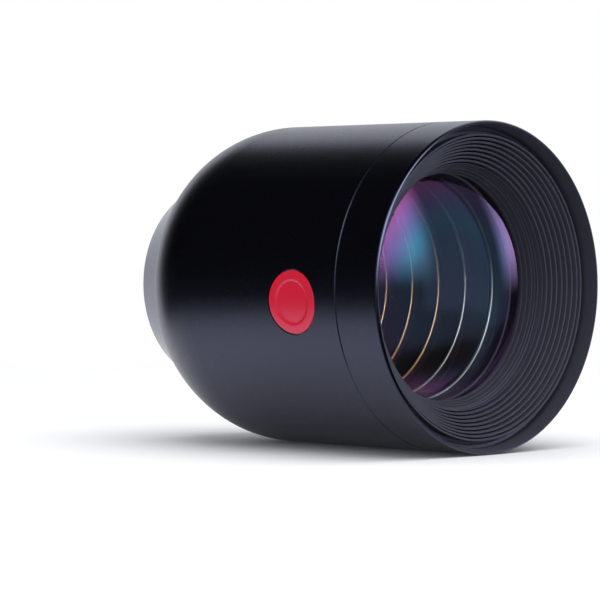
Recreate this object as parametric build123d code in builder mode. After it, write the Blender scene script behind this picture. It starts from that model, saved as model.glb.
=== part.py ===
from build123d import *
from math import radians, tan
import os

os.makedirs("parts", exist_ok=True)

# Clip-on telephoto lens for a phone, standing on the bayonet boss of its rear mount.
# +Z is the optical axis and points out of the front glass. Z = 0 is the rear face of the boss.
# The red inset badge is on the -Y side. A depth is counted back from the front rim.
# Inner diameters follow from the outer ones by walls, ledges and laps. Lengths stack up from
# the rim in the front cell and from the boss in the rear cell, and the light trap fills the rest.

# Driving dimensions, mm
total_length = 52.0  # rear face of the boss to the front rim
barrel_d = 41.0  # satin barrel, also the front ring
slack = 0.05  # turned fits, each side
seat_gap = 0.05  # film between faces that rest on each other
seam_break = 0.12  # edge break on both sides of the seam

# Front ring and its mouth
rim_edge_r = 0.3  # soft outer edge
rim_land = 0.1  # flat left inside that edge
mouth_taper = 0.3  # how much the mouth closes in
mouth_depth = 1.6
slot_width = 0.91  # dark slot between the mouth and the lip of the baffle
slot_depth = 2.7
seam_web = 0.795  # from under the baffle to the seam

# Stepped baffle, from its lip in to the throat
lip_depth = 1.5
lip_width = 0.26
baffle_steps = 7
step_in = 0.444
step_down = 0.465
last_step_in = 0.29
last_step_down = 0.69
throat_land = 0.15
flange_reach = 0.45
baffle_base = 0.25

# Retaining ring in front of the doublet, and the seal under it
retainer_lap = 1.12  # reaches this far out behind the throat
retainer_show = 0.18  # land that shows inside the throat
retainer_steps = 3
retainer_step_in = 0.25
retainer_first_drop = 0.3
retainer_step_down = 0.58
retainer_last_wall = 0.53
front_seal_inset = 0.8
front_seal_cord = 0.9

# Front doublet, cemented
glass_lap = 1.35  # edge of the glass hidden under the retaining ring
front_radius = 42.0
cement_radius = 60.0
flint_rear_radius = 200.0
crown_edge = 0.8
flint_thickness = 1.6
seat_lap = 1.1  # edge of the glass that rests on the seat lip
seat_lip = 0.8

# Cell end of the front ring, which screws into the barrel
barrel_wall = 1.95
gasket_cord = 0.9
gasket_drop = 2.4  # seam to the middle of the gasket

# Light trap: a sleeve with knife-edged rings, clamped over a shim
trap_ledge = 1.9
trap_wall = 1.1
trap_ring_reach = 1.1
trap_pitch = 4.72
trap_first_drop = 3.5  # top of the sleeve to its first ring
trap_ring_edge = 0.2
trap_ring_root = 0.9
shim_thickness = 0.3

# Aperture stop on the shelf behind the light trap
stop_rim = 0.3  # how much wider its hole is than the flare behind it
stop_thickness = 0.6
stop_flare = 0.4

# Domed rear shoulder of the barrel
dome_start = 19.0  # height at which the straight barrel ends
dome_foot = 7.7  # height at which the dome meets the mount
dome_foot_d = 31.6

# Rear mount: neck, shoulder face and bayonet boss
mount_ledge = 2.3  # foot of the dome to the spigot inside it
mount_spigot = 1.8
neck_taper = 27.5  # degrees
web = 3.0
boss_height = 2.4
boss_edge = 0.25
exit_lap = 0.9  # rear glass hidden by the exit hole
exit_flare = 0.4
lug_count = 3
lug_reach = 1.0
lug_thickness = 0.9
lug_sweep = 48.0
lug_turn = -90.0  # middle of the first lug, under the badge
lug_lift = 0.5

# Grip ring let into the shoulder face
grip_ring_width = 0.8
grip_ring_height = 0.7
grip_ring_stand = 0.2

# Rear cell
cell_ledge = 1.5  # inside the mount's spigot
tail_ledge = 1.5
cell_wall = 2.85
cell_shoulder_lap = 0.9
cell_throat = 1.0
flare_height = 2.3
flare_reach = 1.5
cell_seal_cord = 1.1
cell_seal_rise = 3.05  # step of the cell to the middle of its seal

# Rear lenses: a single one at the back, a spacer, and a cemented pair
rear_retainer_rise = 0.2  # above the web
rear_retainer_height = 1.25
rear_retainer_width = 1.2
meniscus_rear_radius = 30.0
meniscus_front_radius = 16.0
meniscus_edge = 0.56
rear_air = 2.3  # gap between the lenses, on the axis
rear_spacer_width = 0.6
rear_crown_radius = 40.0
rear_cement_radius = 18.0
rear_crown_edge = 1.25
concave_radius = 26.0
concave_thickness = 1.3

# Screws through the boss into the rear cell
screw_count = 3
screw_d = 1.2
screw_head_d = 2.2
screw_head_sink = 0.1
screw_inset = 1.9  # wall of the tail to the screw's axis
screw_land = 0.1  # between the countersink and the edge of the boss
screw_bite = 2.6
screw_turn = 90.0  # first screw, opposite the badge
drive_d = 0.9
drive_depth = 0.4

# Badge on the barrel
badge_d = 8.0
badge_depth = 14.3  # rim to its centre
badge_thickness = 0.8
badge_dish_d = 5.3
badge_dish = 0.15
badge_edge = 0.12
pad_thickness = 0.15
badge_fit = 0.04


def sag(radius, half):
    """How far a spherical face of this radius falls back at this distance from the axis."""
    return radius - (radius**2 - half**2) ** 0.5


# Front ring and baffle, inwards and back from the rim
R = barrel_d / 2
rim = total_length
mouth_r = R - rim_edge_r - rim_land
wall_r = mouth_r - mouth_taper
lip_r = wall_r - slot_width
flange_r = lip_r + flange_reach
last_corner_r = lip_r - lip_width - baffle_steps * step_in
throat_r = last_corner_r - last_step_in - throat_land
first_step_depth = lip_depth + lip_width
throat_depth = first_step_depth + baffle_steps * step_down + last_step_down
baffle_bottom = throat_depth + baffle_base
seam = rim - baffle_bottom - seat_gap - seam_web

# Front cell
retainer_r = throat_r + retainer_lap
retainer_top_r = throat_r - retainer_show
clear_r = retainer_top_r - retainer_steps * retainer_step_in
retainer_top = baffle_bottom + seat_gap
retainer_drops = retainer_first_drop + (retainer_steps - 1) * retainer_step_down
retainer_bottom = retainer_top + retainer_drops + retainer_last_wall
front_r = clear_r + glass_lap
front_apex_depth = retainer_bottom + seat_gap - sag(front_radius, clear_r)
crown_thickness = crown_edge + sag(front_radius, front_r) + sag(cement_radius, front_r)
cement_apex_depth = front_apex_depth + crown_thickness
flint_apex_depth = cement_apex_depth + flint_thickness
seat_r = front_r - seat_lap
seat_depth = flint_apex_depth - sag(flint_rear_radius, seat_r) + seat_gap
spigot_r = R - barrel_wall - slack
spigot_end = seat_depth + seat_lip

front_seal_r = clear_r + front_seal_inset
front_seal_reach = front_radius + front_seal_cord / 2 + slack
front_seal_depth = (
    front_apex_depth + front_radius - (front_seal_reach**2 - front_seal_r**2) ** 0.5
)
gasket_r = spigot_r + slack / 2 - gasket_cord / 2
gasket_z = seam - gasket_drop

# Rear mount and rear cell, inwards from the foot of the dome
dome_foot_r = dome_foot_d / 2
mount_spigot_r = dome_foot_r - mount_ledge
mount_top = dome_foot + mount_spigot
neck_r = dome_foot_r - (dome_foot - boss_height) * tan(radians(neck_taper))
cell_r = mount_spigot_r - cell_ledge
tail_r = cell_r - tail_ledge
cell_bore_r = tail_r - cell_wall
rear_r = cell_bore_r - slack
exit_r = rear_r - exit_lap
cell_shoulder_r = rear_r - cell_shoulder_lap
cell_flare_r = cell_shoulder_r + flare_reach
cell_step = mount_top + seat_gap
tail_bottom = web + seat_gap
cell_seal_r = cell_r + slack / 2 - cell_seal_cord / 2
cell_seal_z = cell_step + cell_seal_rise

# Screws, and the boss that covers their heads
screw_r = screw_d / 2
screw_head_r = screw_head_d / 2
screw_cone = screw_head_r - screw_r
screw_circle_r = tail_r - screw_inset
sink_r = screw_head_r + slack + screw_head_sink
boss_r = screw_circle_r + sink_r + screw_land + boss_edge
screw_end = tail_bottom + screw_bite
grip_r = (boss_r + lug_reach + neck_r) / 2

# Rear lenses, stacked forwards from the web
meniscus_edge_z = web + rear_retainer_rise + rear_retainer_height + seat_gap
meniscus_rear_apex = meniscus_edge_z + sag(meniscus_rear_radius, rear_r)
meniscus_front_edge = meniscus_edge_z + meniscus_edge
meniscus_front_apex = meniscus_front_edge + sag(meniscus_front_radius, rear_r)
rear_crown_apex = meniscus_front_apex + rear_air
rear_crown_low_edge = rear_crown_apex - sag(rear_crown_radius, rear_r)
rear_cement_edge = rear_crown_low_edge + rear_crown_edge
rear_cement_apex = rear_cement_edge + sag(rear_cement_radius, rear_r)
concave_apex = rear_cement_apex + concave_thickness
concave_edge = concave_apex + sag(concave_radius, rear_r)
cell_shoulder_z = concave_edge + seat_gap
cell_top = cell_shoulder_z + cell_throat + flare_height

# Light trap, between the two cells
trap_r = spigot_r - trap_ledge
trap_bore_r = trap_r - trap_wall
trap_ring_r = trap_bore_r - trap_ring_reach
stop_hole_r = cell_flare_r + stop_rim
stop_bottom = cell_top + seat_gap
trap_bottom = stop_bottom + stop_thickness + seat_gap
shim_top = rim - spigot_end - seat_gap
trap_top = shim_top - shim_thickness - seat_gap
trap_rings = 1 + int((trap_top - trap_first_drop - trap_ring_root - trap_bottom) / trap_pitch)

# Badge
badge_z = rim - badge_depth
badge_floor_r = R - badge_thickness
pad_floor_r = badge_floor_r - pad_thickness
pocket_plane = Plane((0, -pad_floor_r, badge_z), x_dir=(1, 0, 0), z_dir=(0, -1, 0))
badge_plane = Plane((0, -badge_floor_r, badge_z), x_dir=(1, 0, 0), z_dir=(0, -1, 0))


# Barrel: straight tube, domed shoulder, and stepped bores from the front
with BuildPart() as barrel:
    with BuildSketch(Plane.XZ):
        with BuildLine():
            Polyline(
                (mount_spigot_r + slack, dome_foot),
                (dome_foot_r, dome_foot),
            )
            TangentArc((R, dome_start), (dome_foot_r, dome_foot), tangent=(0, -1))
            Polyline(
                (R, dome_start),
                (R, seam - seam_break),
                (R - seam_break, seam),
                (spigot_r + slack, seam),
                (spigot_r + slack, rim - spigot_end - seat_gap),
                (trap_r + slack, rim - spigot_end - seat_gap),
                (trap_r + slack, cell_top),
                (cell_r + slack, cell_top),
                (cell_r + slack, cell_step),
                (mount_spigot_r + slack, cell_step),
                (mount_spigot_r + slack, dome_foot),
            )
        make_face()
    revolve(axis=Axis.Z)
    with BuildSketch(pocket_plane):
        Circle(badge_d / 2 + badge_fit)
    extrude(amount=badge_thickness + pad_thickness + 1, mode=Mode.SUBTRACT)
barrel.part.label = "barrel"

# Front ring: rim, tapered mouth, seat of the baffle, and the cell of the doublet
with BuildPart() as front_ring:
    with BuildSketch(Plane.XZ):
        with BuildLine():
            Polyline(
                (spigot_r, seam),
                (R - seam_break, seam),
                (R, seam + seam_break),
                (R, rim - rim_edge_r),
            )
            TangentArc((R, rim - rim_edge_r), (R - rim_edge_r, rim), tangent=(0, 1))
            Polyline(
                (R - rim_edge_r, rim),
                (mouth_r, rim),
                (wall_r, rim - mouth_depth),
                (wall_r, rim - slot_depth),
                (flange_r + slack, rim - slot_depth),
                (flange_r + slack, rim - baffle_bottom - seat_gap),
                (retainer_r + slack, rim - baffle_bottom - seat_gap),
                (retainer_r + slack, rim - retainer_bottom - seat_gap),
                (front_r + slack, rim - retainer_bottom - seat_gap),
                (front_r + slack, rim - seat_depth),
                (seat_r, rim - seat_depth),
                (seat_r, rim - spigot_end),
                (spigot_r, rim - spigot_end),
                (spigot_r, gasket_z - gasket_cord / 2 - slack),
                (gasket_r - gasket_cord / 2 - slack, gasket_z - gasket_cord / 2 - slack),
                (gasket_r - gasket_cord / 2 - slack, gasket_z + gasket_cord / 2 + slack),
                (spigot_r, gasket_z + gasket_cord / 2 + slack),
                (spigot_r, seam),
            )
        make_face()
    revolve(axis=Axis.Z)
front_ring.part.label = "front_ring"

# Gasket between the spigot of the front ring and the barrel
with BuildPart() as front_gasket:
    with BuildSketch(Plane.XZ):
        with Locations((gasket_r, gasket_z)):
            Circle(gasket_cord / 2)
    revolve(axis=Axis.Z)
front_gasket.part.label = "front_gasket"

# Stepped baffle: each step is a flat land and a short wall, down to the throat
steps = [(lip_r, rim - lip_depth), (lip_r - lip_width, rim - lip_depth)]
for k in range(baffle_steps):
    corner_r = lip_r - lip_width - k * step_in
    land = rim - first_step_depth - k * step_down
    steps += [(corner_r, land), (corner_r - step_in, land)]
last_land = rim - first_step_depth - baffle_steps * step_down
steps += [
    (last_corner_r, last_land),
    (last_corner_r - last_step_in, last_land),
    (last_corner_r - last_step_in, rim - throat_depth),
    (throat_r, rim - throat_depth),
    (throat_r, rim - baffle_bottom),
    (flange_r, rim - baffle_bottom),
    (flange_r, rim - slot_depth),
    (lip_r, rim - slot_depth),
]
with BuildPart() as baffle_ring:
    with BuildSketch(Plane.XZ):
        with BuildLine():
            Polyline(*steps, close=True)
        make_face()
    revolve(axis=Axis.Z)
baffle_ring.part.label = "baffle_ring"

# Retaining ring: three small steps inside, a seal groove in its rear face
ring_steps = [(retainer_r, rim - retainer_top), (retainer_top_r, rim - retainer_top)]
for k in range(retainer_steps):
    corner_r = retainer_top_r - k * retainer_step_in
    land = rim - retainer_top - retainer_first_drop - k * retainer_step_down
    ring_steps += [(corner_r, land), (corner_r - retainer_step_in, land)]
groove_half = front_seal_cord / 2 + slack
groove_top = rim - front_seal_depth + groove_half
ring_steps += [
    (clear_r, rim - retainer_bottom),
    (front_seal_r - groove_half, rim - retainer_bottom),
    (front_seal_r - groove_half, groove_top),
    (front_seal_r + groove_half, groove_top),
    (front_seal_r + groove_half, rim - retainer_bottom),
    (retainer_r, rim - retainer_bottom),
]
with BuildPart() as front_retainer:
    with BuildSketch(Plane.XZ):
        with BuildLine():
            Polyline(*ring_steps, close=True)
        make_face()
    revolve(axis=Axis.Z)
front_retainer.part.label = "front_retainer"

# Seal that the retaining ring presses on the front glass
with BuildPart() as front_seal:
    with BuildSketch(Plane.XZ):
        with Locations((front_seal_r, rim - front_seal_depth)):
            Circle(front_seal_cord / 2)
    revolve(axis=Axis.Z)
front_seal.part.label = "front_seal"

# Front crown: thick positive lens, both faces bulge outwards
front_top = rim - front_apex_depth
cement_top = rim - cement_apex_depth
with BuildPart() as front_crown:
    with BuildSketch(Plane.XZ):
        with BuildLine():
            ThreePointArc(
                (0, front_top),
                (front_r / 2, front_top - sag(front_radius, front_r / 2)),
                (front_r, front_top - sag(front_radius, front_r)),
            )
            Line(
                (front_r, front_top - sag(front_radius, front_r)),
                (front_r, cement_top + sag(cement_radius, front_r)),
            )
            ThreePointArc(
                (front_r, cement_top + sag(cement_radius, front_r)),
                (front_r / 2, cement_top + sag(cement_radius, front_r / 2)),
                (0, cement_top),
            )
            Line((0, cement_top), (0, front_top))
        make_face()
    revolve(axis=Axis.Z)
front_crown.part.label = "front_crown"

# Front flint: thin negative lens cemented behind the crown
flint_low = rim - flint_apex_depth
with BuildPart() as front_flint:
    with BuildSketch(Plane.XZ):
        with BuildLine():
            ThreePointArc(
                (0, cement_top),
                (front_r / 2, cement_top + sag(cement_radius, front_r / 2)),
                (front_r, cement_top + sag(cement_radius, front_r)),
            )
            Line(
                (front_r, cement_top + sag(cement_radius, front_r)),
                (front_r, flint_low + sag(flint_rear_radius, front_r)),
            )
            ThreePointArc(
                (front_r, flint_low + sag(flint_rear_radius, front_r)),
                (front_r / 2, flint_low + sag(flint_rear_radius, front_r / 2)),
                (0, flint_low),
            )
            Line((0, flint_low), (0, cement_top))
        make_face()
    revolve(axis=Axis.Z)
front_flint.part.label = "front_flint"

# Shim that takes up the play between the front cell and the light trap
with BuildPart() as trap_shim:
    with BuildSketch(Plane.XY.offset(shim_top - shim_thickness)):
        Circle(trap_r)
        Circle(trap_bore_r, mode=Mode.SUBTRACT)
    extrude(amount=shim_thickness)
trap_shim.part.label = "trap_shim"

# Light trap: sleeve with knife-edged rings that stop stray light
with BuildPart() as light_trap:
    with BuildSketch(Plane.XY.offset(trap_bottom)):
        Circle(trap_r)
        Circle(trap_bore_r, mode=Mode.SUBTRACT)
    extrude(amount=trap_top - trap_bottom)
    for k in range(trap_rings):
        ring_z = trap_top - trap_first_drop - k * trap_pitch
        with BuildSketch(Plane.XZ):
            Polygon(
                (trap_bore_r + slack, ring_z),
                (trap_ring_r, ring_z),
                (trap_ring_r, ring_z - trap_ring_edge),
                (trap_bore_r + slack, ring_z - trap_ring_root),
                align=None,
            )
        revolve(axis=Axis.Z)
light_trap.part.label = "light_trap"

# Aperture stop: washer with a flared hole
with BuildPart() as aperture_stop:
    with BuildSketch(Plane.XY.offset(stop_bottom)):
        Circle(trap_r)
        Circle(stop_hole_r, mode=Mode.SUBTRACT)
    extrude(amount=stop_thickness)
    chamfer(
        aperture_stop.edges().filter_by(GeomType.CIRCLE).group_by(SortBy.RADIUS)[0].sort_by(Axis.Z)[0],
        stop_flare,
    )
aperture_stop.part.label = "aperture_stop"

# Rear cell: holds the three rear lenses, with a seal groove outside and tapped holes behind
cell_groove_r = cell_seal_r - cell_seal_cord / 2 - slack
cell_groove_half = cell_seal_cord / 2 + slack
with BuildPart() as rear_cell:
    with BuildSketch(Plane.XZ):
        with BuildLine():
            Polyline(
                (cell_bore_r, tail_bottom),
                (tail_r, tail_bottom),
                (tail_r, cell_step),
                (cell_r, cell_step),
                (cell_r, cell_seal_z - cell_groove_half),
                (cell_groove_r, cell_seal_z - cell_groove_half),
                (cell_groove_r, cell_seal_z + cell_groove_half),
                (cell_r, cell_seal_z + cell_groove_half),
                (cell_r, cell_top),
                (cell_flare_r, cell_top),
                (cell_shoulder_r, cell_shoulder_z + cell_throat),
                (cell_shoulder_r, cell_shoulder_z),
                (cell_bore_r, cell_shoulder_z),
                close=True,
            )
        make_face()
    revolve(axis=Axis.Z)
    with BuildSketch(Plane.XY.offset(tail_bottom)):
        with PolarLocations(screw_circle_r, screw_count, start_angle=screw_turn):
            Circle(screw_r + slack)
    extrude(amount=screw_bite + seat_gap, mode=Mode.SUBTRACT)
rear_cell.part.label = "rear_cell"

# Seal between the rear cell and the barrel
with BuildPart() as cell_seal:
    with BuildSketch(Plane.XZ):
        with Locations((cell_seal_r, cell_seal_z)):
            Circle(cell_seal_cord / 2)
    revolve(axis=Axis.Z)
cell_seal.part.label = "cell_seal"

# Rear concave lens, hollow on both faces
with BuildPart() as rear_concave:
    with BuildSketch(Plane.XZ):
        with BuildLine():
            ThreePointArc(
                (0, concave_apex),
                (rear_r / 2, concave_apex + sag(concave_radius, rear_r / 2)),
                (rear_r, concave_edge),
            )
            Line((rear_r, concave_edge), (rear_r, rear_cement_edge))
            ThreePointArc(
                (rear_r, rear_cement_edge),
                (rear_r / 2, rear_cement_apex - sag(rear_cement_radius, rear_r / 2)),
                (0, rear_cement_apex),
            )
            Line((0, rear_cement_apex), (0, concave_apex))
        make_face()
    revolve(axis=Axis.Z)
rear_concave.part.label = "rear_concave"

# Rear crown cemented behind it
with BuildPart() as rear_crown:
    with BuildSketch(Plane.XZ):
        with BuildLine():
            ThreePointArc(
                (0, rear_cement_apex),
                (rear_r / 2, rear_cement_apex - sag(rear_cement_radius, rear_r / 2)),
                (rear_r, rear_cement_edge),
            )
            Line((rear_r, rear_cement_edge), (rear_r, rear_crown_low_edge))
            ThreePointArc(
                (rear_r, rear_crown_low_edge),
                (rear_r / 2, rear_crown_apex - sag(rear_crown_radius, rear_r / 2)),
                (0, rear_crown_apex),
            )
            Line((0, rear_crown_apex), (0, rear_cement_apex))
        make_face()
    revolve(axis=Axis.Z)
rear_crown.part.label = "rear_crown"

# Spacer between the cemented pair and the last lens
spacer_r = rear_r - rear_spacer_width
spacer_bottom = meniscus_front_apex - sag(meniscus_front_radius, spacer_r) + seat_gap
with BuildPart() as rear_spacer:
    with BuildSketch(Plane.XY.offset(spacer_bottom)):
        Circle(rear_r)
        Circle(spacer_r, mode=Mode.SUBTRACT)
    extrude(amount=rear_crown_low_edge - seat_gap - spacer_bottom)
rear_spacer.part.label = "rear_spacer"

# Last lens, a meniscus that is hollow towards the phone
with BuildPart() as rear_meniscus:
    with BuildSketch(Plane.XZ):
        with BuildLine():
            ThreePointArc(
                (0, meniscus_front_apex),
                (rear_r / 2, meniscus_front_apex - sag(meniscus_front_radius, rear_r / 2)),
                (rear_r, meniscus_front_edge),
            )
            Line((rear_r, meniscus_front_edge), (rear_r, meniscus_edge_z))
            ThreePointArc(
                (rear_r, meniscus_edge_z),
                (rear_r / 2, meniscus_rear_apex - sag(meniscus_rear_radius, rear_r / 2)),
                (0, meniscus_rear_apex),
            )
            Line((0, meniscus_rear_apex), (0, meniscus_front_apex))
        make_face()
    revolve(axis=Axis.Z)
rear_meniscus.part.label = "rear_meniscus"

# Retaining ring behind the last lens
with BuildPart() as rear_retainer:
    with BuildSketch(Plane.XY.offset(web + rear_retainer_rise)):
        Circle(rear_r)
        Circle(rear_r - rear_retainer_width, mode=Mode.SUBTRACT)
    extrude(amount=rear_retainer_height)
rear_retainer.part.label = "rear_retainer"

# One bayonet lug, swept round the boss
with BuildPart() as lug:
    with BuildSketch(Plane.XZ):
        Polygon(
            (boss_r - lug_reach, lug_lift),
            (boss_r + lug_reach, lug_lift),
            (boss_r + lug_reach, lug_lift + lug_thickness),
            (boss_r - lug_reach, lug_lift + lug_thickness),
            align=None,
        )
    revolve(axis=Axis.Z, revolution_arc=lug_sweep)

# Rear mount: neck that carries on from the dome, shoulder face, boss and lugs
grip_half = grip_ring_width / 2 + slack
grip_depth = grip_ring_height - grip_ring_stand + slack
with BuildPart() as rear_mount:
    with BuildSketch(Plane.XZ):
        with BuildLine():
            Polyline(
                (exit_r, exit_flare),
                (exit_r + exit_flare, 0),
                (boss_r - boss_edge, 0),
                (boss_r, boss_edge),
                (boss_r, boss_height),
                (grip_r - grip_half, boss_height),
                (grip_r - grip_half, boss_height + grip_depth),
                (grip_r + grip_half, boss_height + grip_depth),
                (grip_r + grip_half, boss_height),
                (neck_r, boss_height),
                (dome_foot_r, dome_foot),
                (mount_spigot_r, dome_foot),
                (mount_spigot_r, mount_top),
                (tail_r + slack, mount_top),
                (tail_r + slack, web),
                (exit_r, web),
                close=True,
            )
        make_face()
    revolve(axis=Axis.Z)
    with PolarLocations(0, lug_count, start_angle=lug_turn - lug_sweep / 2):
        add(lug.part)
    with BuildSketch(Plane.XY):
        with PolarLocations(screw_circle_r, screw_count, start_angle=screw_turn):
            Circle(screw_r + slack)
    extrude(amount=web, mode=Mode.SUBTRACT)
    with BuildSketch(Plane.XY):
        with PolarLocations(screw_circle_r, screw_count, start_angle=screw_turn):
            Circle(sink_r)
    extrude(amount=screw_cone + slack + screw_head_sink, taper=45, mode=Mode.SUBTRACT)
rear_mount.part.label = "rear_mount"

# Grip ring that keeps the lens from turning on the phone plate
with BuildPart() as grip_ring:
    with BuildSketch(Plane.XY.offset(boss_height - grip_ring_stand)):
        Circle(grip_r + grip_ring_width / 2)
        Circle(grip_r - grip_ring_width / 2, mode=Mode.SUBTRACT)
    extrude(amount=grip_ring_height)
grip_ring.part.label = "grip_ring"

# One countersunk screw on the axis, then the set of three
with BuildPart() as screw:
    with BuildSketch(Plane.XZ):
        Polygon(
            (0, screw_head_sink),
            (screw_head_r, screw_head_sink),
            (screw_r, screw_head_sink + screw_cone),
            (screw_r, screw_end),
            (0, screw_end),
            align=None,
        )
    revolve(axis=Axis.Z)
    with BuildSketch(Plane.XY.offset(screw_head_sink)):
        RegularPolygon(drive_d / 2, 6)
    extrude(amount=drive_depth, mode=Mode.SUBTRACT)

with BuildPart() as mount_screws:
    with PolarLocations(screw_circle_r, screw_count, start_angle=screw_turn):
        add(screw.part)
mount_screws.part.label = "mount_screws"

# Adhesive pad under the badge
with BuildPart() as badge_pad:
    with BuildSketch(pocket_plane):
        Circle(badge_d / 2)
    extrude(amount=pad_thickness)
badge_pad.part.label = "badge_pad"

# Badge: disc whose face follows the barrel, with a shallow dish inside its raised edge
dish_floor = Pos(0, 0, badge_z) * Cylinder(R - badge_dish, badge_d)
face_limit = Pos(0, 0, badge_z) * Cylinder(R, 2 * badge_d)
with BuildPart() as dish:
    with BuildSketch(badge_plane):
        Circle(badge_dish_d / 2)
    extrude(amount=badge_thickness + 1)
    add(dish_floor, mode=Mode.SUBTRACT)

with BuildPart() as badge:
    with BuildSketch(badge_plane):
        Circle(badge_d / 2)
    extrude(amount=badge_thickness + 1)
    add(face_limit, mode=Mode.INTERSECT)
    fillet(badge.edges().sort_by(Axis.Y)[:1], badge_edge)
    add(dish.part, mode=Mode.SUBTRACT)
badge.part.label = "badge"

pieces = [
    barrel,
    front_ring,
    front_gasket,
    baffle_ring,
    front_retainer,
    front_seal,
    front_crown,
    front_flint,
    trap_shim,
    light_trap,
    aperture_stop,
    rear_cell,
    cell_seal,
    rear_concave,
    rear_crown,
    rear_spacer,
    rear_meniscus,
    rear_retainer,
    rear_mount,
    grip_ring,
    mount_screws,
    badge_pad,
    badge,
]
for piece in pieces:
    export_step(piece.part, "parts/" + piece.part.label + ".step")
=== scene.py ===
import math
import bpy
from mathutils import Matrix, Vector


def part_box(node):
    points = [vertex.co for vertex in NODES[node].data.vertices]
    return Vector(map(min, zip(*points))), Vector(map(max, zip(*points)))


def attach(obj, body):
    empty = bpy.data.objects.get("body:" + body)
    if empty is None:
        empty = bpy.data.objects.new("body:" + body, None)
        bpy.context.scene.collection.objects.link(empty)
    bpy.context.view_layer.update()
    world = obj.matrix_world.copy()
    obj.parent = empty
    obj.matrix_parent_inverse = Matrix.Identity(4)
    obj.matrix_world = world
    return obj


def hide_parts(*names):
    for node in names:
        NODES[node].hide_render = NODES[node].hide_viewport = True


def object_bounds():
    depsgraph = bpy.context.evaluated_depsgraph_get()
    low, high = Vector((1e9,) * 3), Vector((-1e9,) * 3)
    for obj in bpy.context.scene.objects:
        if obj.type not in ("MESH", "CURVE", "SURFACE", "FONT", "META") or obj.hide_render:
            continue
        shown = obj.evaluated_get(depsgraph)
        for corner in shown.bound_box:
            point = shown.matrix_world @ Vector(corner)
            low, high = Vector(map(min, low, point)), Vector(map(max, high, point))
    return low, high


bl_info = {
    "name": "Telephoto Conversion Lens",
    "version": (1, 0, 0),
    "blender": (4, 5, 0),
    "location": "View3D > Sidebar > Lens",
    "description": "Dresses the packed lens: turned metal, coated glass, inset badge, studio and camera",
    "category": "Object",
}

import bmesh
import bpy
from bpy.props import FloatProperty, FloatVectorProperty, IntProperty, PointerProperty
from bpy.types import Operator, Panel, PropertyGroup
from mathutils import Matrix, Vector

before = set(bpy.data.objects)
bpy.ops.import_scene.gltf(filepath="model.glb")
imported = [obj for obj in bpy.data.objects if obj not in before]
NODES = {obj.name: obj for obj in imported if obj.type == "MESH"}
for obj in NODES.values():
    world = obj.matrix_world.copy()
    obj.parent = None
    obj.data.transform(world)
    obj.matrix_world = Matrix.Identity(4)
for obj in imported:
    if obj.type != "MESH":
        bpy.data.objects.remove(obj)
CAD_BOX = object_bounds()
BODY = "root"
MM = 0.001

# The frame stands on the boss: +Z is the optical axis and the badge is on the -Y side.
RIM = CAD_BOX[1].z / MM
BARREL_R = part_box("front_ring")[1].x / MM
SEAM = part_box("barrel")[1].z / MM
BADGE_Z = (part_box("badge")[0].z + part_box("badge")[1].z) / 2 / MM

# Baffle and retaining ring, in mm, as the source has them
LIP_R = 18.89
LIP_DEPTH = 1.5
LIP_WIDTH = 0.26
STEPS = 7
STEP_IN = 0.444
STEP_DOWN = 0.465
LAST_IN = 0.29
LAST_DOWN = 0.69
THROAT_LAND = 0.15
FLANGE_R = LIP_R + 0.45
SLOT_DEPTH = 2.7
BAFFLE_BOTTOM = 5.955
CLEAR_R = 14.152
RETAINER_STEPS = 3
RETAINER_IN = 0.25
RETAINER_R = 16.202
RETAINER_TOP = 6.005
RETAINER_BOTTOM = 7.995
RETAINER_FIRST = 0.3
RETAINER_DOWN = 0.58
RETAINER_CUT = 0.08
SEAL_IN_R = 14.452
SEAL_OUT_R = 15.452
SEAL_DEPTH = 0.5

# Front ring, in mm: its level land, tapered mouth, spigot, and the seat under the front lenses
RIM_LAND = 0.4
TAPER_IN = 0.3
TAPER_DEPTH = 1.6
SPIGOT_R = 18.5
SEAM_BREAK = 0.12
SEAT_R = 14.402
SEAT_STEP = 0.8
FIT = 0.05

# Front lenses, in mm, and the ground land that masks their edge
FRONT_APEX = 46.41
FRONT_RADIUS = 42.0
FRONT_GLASS_R = 15.502
CEMENT_APEX = 40.61
CEMENT_RADIUS = 60.0
FACE_FROM = 43.5
LAND_BELOW = 43.1
LAND_R = 14.4
LAND_HALF = 0.14

# How the cemented face behind tilts what it reflects, in mm of radius, and where it is level
HOLLOW_ACROSS = 35.0
HOLLOW_UP = 50.0
LEVEL_ACROSS = 5.8
LEVEL_DOWN = 3.0

# Light trap, in mm: the bore and upper faces of its rings, and the seat of the front lenses
EDGE_R = 14.36
EDGE_DROP = 0.02
SEAT_TOP = 39.48
TRAP_PITCH = 4.72
TRAP_EDGES = (34.78, 30.06, 25.34, 20.62)

# Badge, in mm: a dish with a soft wall inside a raised edge
BADGE_R = 4.0
BADGE_FIT = 0.03
BADGE_DEPTH = 0.78
DISH_DEPTH = 0.15
DISH_R = 2.5
DISH_WALL = 0.4


def linear(hex_colour):
    """Turn an sRGB hex colour into linear values with an alpha of 1."""
    parts = [int(hex_colour[k : k + 2], 16) / 255 for k in (1, 3, 5)]
    flat = [c / 12.92 if c <= 0.04045 else ((c + 0.055) / 1.055) ** 2.4 for c in parts]
    return (*flat, 1.0)


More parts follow.
